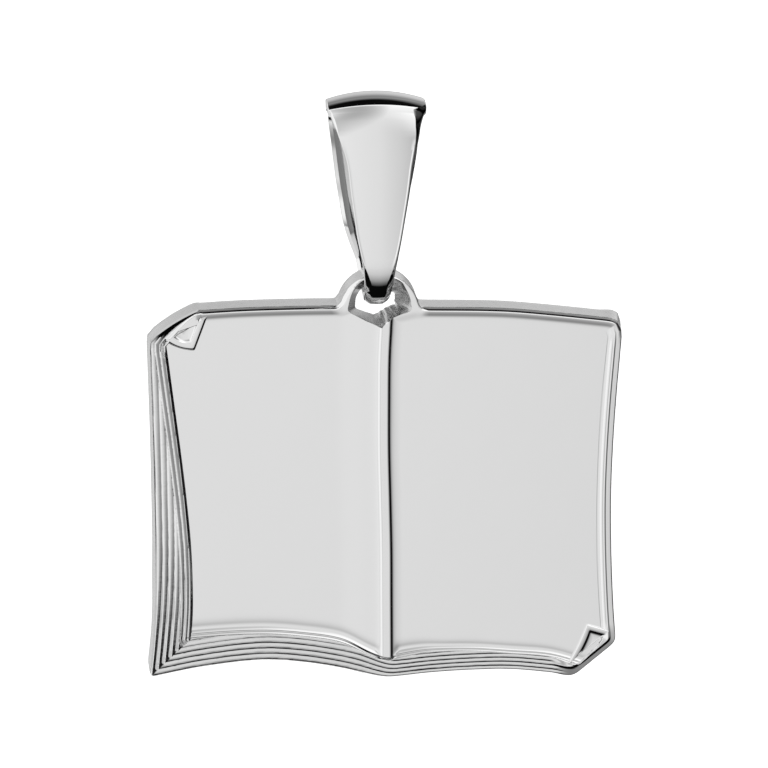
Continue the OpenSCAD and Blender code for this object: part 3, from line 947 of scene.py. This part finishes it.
def bail_stations():
    """Named values at every station round the bail, in metres where they are lengths."""
    profile = face_profile(FRONT_FACE, (-0.06, STRIP_T), PROFILE_STEP)
    rows = bail_outline()
    crease = profile[round(CREASE / PROFILE_STEP)]
    # The crown of the top bend reaches a little behind the middle
    profile = np.vstack([[0.05, STRIP_T], profile])
    turn = math.atan2(crease[1] + TOP_BEND_R, crease[0])
    near = min(range(len(rows)), key=lambda i: abs(math.atan2(rows[i][3], rows[i][2]) - turn)
               if rows[i][1] > -TOP_BEND_R and not rows[i][4] else 9)
    rows[near] = (TOP_BEND_R * math.cos(turn), TOP_BEND_R * (math.sin(turn) - 1),
                  math.cos(turn), math.sin(turn), 0)
    crown_drops, *crowns = zip(*CROWNS)
    stations = []
    for y, z, out_y, out_z, back_leg in rows:
        outer, inner = STRIP_T, 0.0
        if not back_leg and -z < JOIN[1]:
            face = reach(np.array((y, z)), np.array((out_y, out_z)), profile)
            outer = mix(face, STRIP_T, ramp(-z, *JOIN))
            inner = min(0.0, outer - LEG_T)
        drop = -(z + outer * out_z)
        strip = outer - inner
        left, right = (table_curve(SHOULDERS, drop, column) for column in (1, 2))
        steep = mix(*SHOULDER_STEEPNESS, ramp(drop, *STEEP_PART))
        lengths = {
            "place": (0, y, z),
            "half_width": table_curve(LEG_WIDTHS, drop, 2 if back_leg else 1),
            "middle": table_curve(LEG_MIDDLES, drop),
            "inner": inner,
            "thickness": strip,
            "shoulder_left": left,
            "shoulder_right": right,
            "fall_left": min(steep * left, SHOULDER_FALLS[0] * strip),
            "fall_right": min(steep * right, SHOULDER_FALLS[1] * strip),
            "bevel": BEVELS[1] * ramp(drop, 0, 1) if back_leg else BEVELS[0],
            "roll": EDGE_ROLL * ramp(drop, 0.8, 2) * ramp(drop, 8, 7) if back_leg else 0,
        }
        station = {key: np.multiply(value, MM) for key, value in lengths.items()}
        station["outward"] = (0, out_y, out_z)
        station["curve"] = 0.5 / np.interp(drop, crown_drops, crowns[back_leg]) / MM
        station["ridge"] = 0 if back_leg else ramp(drop, 1.4, 2.0) * ramp(drop, 7.6, 7.1)
        stations.append(station)
    return {key: np.array([station[key] for station in stations], float) for key in stations[0]}


# A shoulder from the strip's side to its face: way in and fall, as shares of both
SHOULDER_STEPS = [
    (0, 1), (0.01, 0.9), (0.05, 0.8), (0.12, 0.7), (0.25, 0.57), (0.5, 0.38), (0.75, 0.19), (1, 0),
]
# The thin ridges that polishing left along both edges: way in and height, as shares
RIDGE_STEPS = [(0, 0.75), (0.35, 1), (0.65, 0.5)]
RIDGE_W = 0.09
RIDGE_H = 0.03


def strip_section():
    """The strip's section: for every point its shares of the stations' named values."""
    keys = ("side", "edge", "left", "right", "depth", "dip_left", "dip_right", "ridge_at", "crest",
            "curl")
    rows = []

    def add(**shares):
        rows.append([shares.get(key, 0) for key in keys])

    for f in np.linspace(-1, 1, 41):
        add(side=f, edge=-f, curl=-(max(0, abs(f) - 0.75) / 0.25) ** 2)
    add(side=1, depth=0.28)
    for inset, dip in SHOULDER_STEPS[:-1]:
        add(side=1, right=-inset, depth=1, dip_right=-dip)
    for inset, crest in RIDGE_STEPS:
        add(side=1, right=-1, depth=1, ridge_at=-inset, crest=crest)
    for f in np.linspace(1, -1, 33):
        add(side=f, left=(1 - f) / 2, right=-(1 + f) / 2, depth=1, ridge_at=-f)
    for inset, crest in reversed(RIDGE_STEPS):
        add(side=-1, left=1, depth=1, ridge_at=inset, crest=0.4 * crest)
    for inset, dip in SHOULDER_STEPS[-2::-1]:
        add(side=-1, left=inset, depth=1, dip_left=-dip)
    add(side=-1, depth=0.28)
    return dict(zip(keys, np.array(rows, float).T))


def loop_of_edges(name, values):
    """A helper: a closed chain of edges whose points carry named values."""
    count = len(next(iter(values.values())))
    mesh = bpy.data.meshes.new(name)
    turn = np.linspace(0, 2 * np.pi, count, endpoint=False)
    points = np.column_stack([np.cos(turn), np.sin(turn), np.zeros(count)]) * MM
    mesh.from_pydata(points.tolist(), [(i, (i + 1) % count) for i in range(count)], [])
    for key, rows in values.items():
        is_vector = rows.ndim == 2
        layer = mesh.attributes.new(key, "FLOAT_VECTOR" if is_vector else "FLOAT", "POINT")
        layer.data.foreach_set("vector" if is_vector else "value", rows.ravel())
    return linked(name, mesh)


def strip_tree(material):
    """Sweeps the strip's section round the bail's path."""
    tree = bpy.data.node_groups.new("bail_strip", "GeometryNodeTree")
    for key, kind in (("Geometry", "Geometry"), ("Section", "Object"), ("Ridge Width", "Float"),
                      ("Ridge Height", "Float")):
        tree.interface.new_socket(key, in_out="INPUT", socket_type="NodeSocket" + kind)
    tree.interface.new_socket("Geometry", in_out="OUTPUT", socket_type="NodeSocketGeometry")
    given = node(tree, "NodeGroupInput").outputs

    def value(key, data_type="FLOAT"):
        made = node(tree, "GeometryNodeInputNamedAttribute", {"Name": key}, data_type=data_type)
        return made.outputs["Attribute"]

    def shares(start, *pairs):
        """Adds up a section's shares of the stations' values."""
        for share, whole in pairs:
            if isinstance(whole, str):
                whole = value(whole)
            start = calc(tree, "ADD", start, calc(tree, "MULTIPLY", value(share), whole))
        return start

    path = node(tree, "GeometryNodeMeshToCurve", {"Mesh": given["Geometry"]})
    helper = node(tree, "GeometryNodeObjectInfo", {"Object": given["Section"]})
    section = node(tree, "GeometryNodeMeshToCurve", {"Mesh": helper.outputs["Geometry"]})
    swept = node(tree, "GeometryNodeCurveToMesh", {
        "Curve": path.outputs[0], "Profile Curve": section.outputs[0]})
    across = shares(0.0, ("side", "half_width"), ("edge", "bevel"), ("left", "shoulder_left"),
                    ("right", "shoulder_right"), ("ridge_at", given["Ridge Width"]))
    crest = calc(tree, "MULTIPLY", given["Ridge Height"], value("ridge"))
    lift = shares(value("inner"), ("depth", "thickness"), ("dip_left", "fall_left"),
                  ("dip_right", "fall_right"), ("crest", crest), ("curl", "roll"))
    crown = calc(tree, "MULTIPLY", calc(tree, "MULTIPLY", across, across), value("curve"))
    beside = node(tree, "ShaderNodeCombineXYZ", {
        "X": calc(tree, "ADD", across, value("middle"))}).outputs[0]
    raised = node(tree, "ShaderNodeVectorMath", {
        0: value("outward", "FLOAT_VECTOR"), "Scale": calc(tree, "SUBTRACT", lift, crown),
    }, operation="SCALE").outputs[0]
    spot = value("place", "FLOAT_VECTOR")
    for way in (raised, beside):
        spot = node(tree, "ShaderNodeVectorMath", {0: spot, 1: way}, operation="ADD").outputs[0]
    placed = node(tree, "GeometryNodeSetPosition", {
        "Geometry": swept.outputs[0], "Position": spot})
    real = node(tree, "GeometryNodeRealizeInstances", {"Geometry": placed.outputs[0]})
    dressed = node(tree, "GeometryNodeSetMaterial", {
        "Geometry": real.outputs[0], "Material": material})
    node(tree, "NodeGroupOutput", {"Geometry": dressed.outputs[0]})
    return tree


def make_bail(material):
    bail = loop_of_edges("bail", bail_stations())
    section = loop_of_edges("section", strip_section())
    sweep = bail.modifiers.new("strip", "NODES")
    sweep.node_group = strip_tree(material)
    sizes = {"Section": section, "Ridge Width": RIDGE_W * MM, "Ridge Height": RIDGE_H * MM}
    for item in sweep.node_group.interface.items_tree:
        if item.in_out == "INPUT" and item.name in sizes:
            sweep[item.identifier] = sizes[item.name]
    final_mesh(bail)
    bpy.data.objects.remove(section)
    face_outwards(bail.data)
    polish(bail, 25)
    return bail


def grey(hex_text):
    """Linear colour of an sRGB hex value."""
    def linear(c):
        return c / 12.92 if c <= 0.04045 else ((c + 0.055) / 1.055) ** 2.4
    return tuple(linear(int(hex_text[i:i + 2], 16) / 255) for i in (1, 3, 5)) + (1.0,)


def silver(name, base, roughness, patches_mm, wave_mm, wave_height_mm, stretch=(1, 1, 1)):
    """Silver whose gloss varies in soft patches and whose surface waves a little."""
    material = bpy.data.materials.new(name)
    material.use_nodes = True
    tree = material.node_tree
    tree.nodes.clear()
    place = node(tree, "ShaderNodeTexCoord").outputs["Object"]
    patches = node(tree, "ShaderNodeTexNoise", {
        "Vector": place, "Scale": 1 / (patches_mm * MM), "Detail": 3.0, "Roughness": 0.55})
    gloss = fade(tree, patches.outputs[0], 0.3, 0.7, *roughness)
    stretched = node(tree, "ShaderNodeVectorMath", {0: place, 1: stretch}, operation="MULTIPLY")
    waves = node(tree, "ShaderNodeTexNoise", {
        "Vector": stretched.outputs[0], "Scale": 1 / (wave_mm * MM), "Detail": 1.0})
    bump = node(tree, "ShaderNodeBump", {
        "Height": waves.outputs[0], "Strength": 1.0, "Distance": wave_height_mm * MM})
    shader = node(tree, "ShaderNodeBsdfPrincipled", {
        "Base Color": grey(base), "Metallic": 1.0, "Roughness": gloss,
        "Normal": bump.outputs[0],
    })
    node(tree, "ShaderNodeOutputMaterial", {"Surface": shader.outputs[0]})
    return material


def inside(polygon, x, z):
    """Whether each point lies inside a closed polygon."""
    hit = np.zeros(len(x), bool)
    for (ax, az), (bx, bz) in zip(polygon, np.roll(polygon, -1, axis=0)):
        crosses = (az > z) != (bz > z)
        hit ^= crosses & (x < ax + (z - az) * (bx - ax) / (bz - az + 1e-12))
    return hit


def dress_book(book, materials):
    """Gives out the materials: of the faces, the stacks of sheets, the side walls and the hole,
    whose darker silver is painted shade.
    """
    book.data.materials.clear()
    for material in materials:
        book.data.materials.append(material)
    faces = book.data.polygons
    centre, normal = np.empty((2, len(faces) * 3))
    faces.foreach_get("center", centre)
    faces.foreach_get("normal", normal)
    x, y, z = centre.reshape(-1, 3).T / MM
    towards = -normal.reshape(-1, 3)[:, 1]
    slot = np.zeros(len(faces), int)
    front = y < FRONT_Y + WALL_FROM - 0.02
    left = (x < table_curve(LEFT_SIDE, -z, 2) - STEP_W) & (z < -11.3)
    below = (-z > table_curve(BOTTOM_EDGE, x, 2)) & (x < 9.3)
    slot[front & (left | below)] = 1
    slot[~front & (np.abs(towards) < 0.5)] = 2
    # Painted shade in the hole: the darker silver reaches a little beyond the hole's edge, and not
    # the loop's face
    hole = LOOP_CENTRE + (closed_curve(HOLE_FRONT) - LOOP_CENTRE) * 1.05
    slot[inside(hole, x, -z) & (y > FRONT_Y - 0.05) & (towards < 0.9)] = 3
    faces.foreach_set("material_index", slot)


# Studio
AZIMUTH = math.radians(-7)
ELEVATION = math.radians(17)
ROLL = math.radians(-1.2)
DISTANCE = 0.3
PIXELS_PER_MM = 21.5
IMAGE_PX = 768
SENSOR = 36.0
# The point looked at, and its shift right and up
AIM = Vector((0, 0, -14)) * MM
OFFSET_PX = (13.3, 8.8)

back = Vector((
    math.sin(AZIMUTH) * math.cos(ELEVATION),
    -math.cos(AZIMUTH) * math.cos(ELEVATION),
    math.sin(ELEVATION),
))
sideways = Vector((math.cos(AZIMUTH), math.sin(AZIMUTH), 0))
upright = back.cross(sideways)
right_axis = math.cos(ROLL) * sideways - math.sin(ROLL) * upright
up_axis = math.sin(ROLL) * sideways + math.cos(ROLL) * upright
camera = bpy.data.cameras.new("camera")
camera.sensor_width = SENSOR
camera.lens = SENSOR * PIXELS_PER_MM * DISTANCE / MM / IMAGE_PX
camera.clip_start = 0.01
camera.clip_end = 100
camera_object = linked("camera", camera)
aim = AIM + (right_axis * OFFSET_PX[0] + up_axis * OFFSET_PX[1]) * MM / PIXELS_PER_MM
turned = Matrix((right_axis, up_axis, back)).transposed().to_4x4()
camera_object.matrix_world = Matrix.Translation(aim + back * DISTANCE) @ turned
bpy.context.scene.camera = camera_object
bpy.context.scene.view_settings.view_transform = "Standard"

# Brightness of the studio round the pendant, by the angle that runs from the floor in front (-90
# is straight down) over the front horizon (0) and overhead (90) to the back (180)
STUDIO = [
    (-180, 0.42), (-172, 0.5), (-162, 0.62), (-130, 0.8), (-112, 1.1), (-91, 1.1), (-87, 0.04),
    (-84, 0.04), (-81, 0.8), (-77, 0.003), (-46, 0.003), (-40, 0.2), (-35, 0.42), (-29, 0.66),
    (-22, 0.81), (-16, 0.84), (8, 0.84), (22, 1.0), (58, 1.02), (76, 0.9), (80, 1.25), (88, 1.25),
    (91, 0.003), (110, 0.003), (114, 0.12), (122, 0.27), (132, 0.25), (140, 0.4), (150, 0.58),
    (163, 0.64), (172, 0.68), (180, 0.42),
]
STUDIO_SCALE = 1.25
# The white wall at the left: its light, and where it starts sideways and above the floor
LEFT_WALL = 1.05
LEFT_WALL_SIDE = (-0.3, -0.62)
LEFT_WALL_FOOT = (-0.54, -0.42)
# What the flags at the right let through. Rows: rightward part of the direction, share
RIGHT_FLAGS = [
    (-1, 1), (-0.4, 1), (-0.17, 1.1), (0, 1.04), (0.117, 1), (0.26, 0.85), (0.42, 0.6),
    (0.55, 0.44), (0.7, 0.36), (0.85, 0.2), (0.94, 0.05), (1, 0.01),
]
# The same higher up, where they are further away, and the angles between which it changes
HIGH_FLAGS = [
    (-1, 1), (0, 1), (0.25, 1.12), (0.5, 1.25), (0.65, 0.8), (0.8, 0.4), (0.92, 0.12), (1, 0.03),
]
HIGH_PART = (math.radians(-8), math.radians(8))
FLAG_SCALE = 1.25
# The dark camera that the pendant faces: its share of light, and the cosine at which it ends
CAMERA_LIGHT = 0.5
CAMERA_EDGE = 0.93


def ramp_node(tree, factor, stops, scale):
    """A colour ramp of grey stops at positions from 0 to 1."""
    made = node(tree, "ShaderNodeValToRGB", {0: factor})
    elements = made.color_ramp.elements
    elements.remove(elements[1])
    for i, (position, value) in enumerate(stops):
        stop = elements[0] if i == 0 else elements.new(position)
        stop.position = position
        stop.color = (value / scale,) * 3 + (1,)
    return calc(tree, "MULTIPLY", made.outputs[0], scale)


def blend(tree, share, a, b):
    """A value between two others."""
    return node(tree, "ShaderNodeMix", {0: share, 2: a, 3: b}, data_type="FLOAT").outputs[0]


def studio_world():
    world = bpy.data.worlds.new("studio")
    world.use_nodes = True
    tree = world.node_tree
    tree.nodes.clear()
    direction = node(tree, "ShaderNodeTexCoord").outputs["Generated"]
    part = node(tree, "ShaderNodeSeparateXYZ", {0: direction}).outputs
    turn = calc(tree, "ARCTAN2", part["Z"], calc(tree, "MULTIPLY", part["Y"], -1.0))
    base = ramp_node(tree, fade(tree, turn, -math.pi, math.pi),
                     [((angle + 180) / 360, light) for angle, light in STUDIO], STUDIO_SCALE)
    wall = calc(tree, "MULTIPLY", fade(tree, part["X"], *LEFT_WALL_SIDE, smooth=True),
                fade(tree, part["Z"], *LEFT_WALL_FOOT, smooth=True))
    side = fade(tree, part["X"], -1.0, 1.0)
    low_flags, high_flags = (
        ramp_node(tree, side, [((x + 1) / 2, light) for x, light in flags], FLAG_SCALE)
        for flags in (RIGHT_FLAGS, HIGH_FLAGS)
    )
    flags = blend(tree, fade(tree, turn, *HIGH_PART, smooth=True), low_flags, high_flags)
    facing = node(tree, "ShaderNodeVectorMath", {0: direction, 1: back},
                  operation="DOT_PRODUCT").outputs["Value"]
    light = calc(tree, "MULTIPLY", blend(tree, wall, base, LEFT_WALL), flags)
    light = calc(tree, "MULTIPLY", light, fade(tree, facing, CAMERA_EDGE, 1.0, 1.0, CAMERA_LIGHT))
    seen = node(tree, "ShaderNodeLightPath").outputs["Is Camera Ray"]
    shader = node(tree, "ShaderNodeBackground", {
        "Color": (1, 1, 1, 1), "Strength": blend(tree, seen, light, 1.0)})
    node(tree, "ShaderNodeOutputWorld", {0: shader.outputs[0]})
    bpy.context.scene.world = world


studio_world()

FLOOR_HALF_W = 4000
FLOOR_Z = -150
floor = mesh_object("floor", [
    (x * FLOOR_HALF_W, y * FLOOR_HALF_W, FLOOR_Z) for x, y in ((-1, -1), (1, -1), (1, 1), (-1, 1))
], [(0, 1, 2, 3)])
floor.visible_glossy = False
floor_material = bpy.data.materials.new("white_paper")
floor_material.use_nodes = True
paper = floor_material.node_tree.nodes["Principled BSDF"].inputs
paper["Base Color"].default_value = (0.85, 0.85, 0.85, 1)
paper["Roughness"].default_value = 0.9
paper["Emission Color"].default_value = (1, 1, 1, 1)
paper["Emission Strength"].default_value = 0.65
floor.data.materials.append(floor_material)

# Rhodium-plated silver with a mirror polish: very slight waves from the polishing wheel
polished = silver("polished_silver", "#EEEEEE", (0.035, 0.075), 1.6, 2.2, 0.0035)
# The same silver, less polished between the sheets: fine lines across them, from the model's
# carving. They are drawn about 0.15 mm apart, coarser than they are, so that they can be seen
sheet_silver = silver("satin_silver_sheets", "#E6E6E6", (0.09, 0.15), 0.4, 0.3, 0.006,
                      (0.7, 0.7, 2.2))
# Silver that was cast and then tumbled to a soft sheen, on the side walls
wall_silver = silver("tumbled_silver", "#E4E4E4", (0.2, 0.3), 0.25, 0.12, 0.004)
# Silver as cast and dull in the loop's hole; its darker colour is painted shade for the hole's
# depth
hole_silver_painted_shade = silver("cast_silver_painted_shade", "#CACACA", (0.22, 0.32), 0.25, 0.12, 0.004)

book = make_book()
dress_book(book, (polished, sheet_silver, wall_silver, hole_silver_painted_shade))
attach(book, "book")
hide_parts("book")

bail = make_bail(polished)
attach(bail, "bail")
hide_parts("bail")
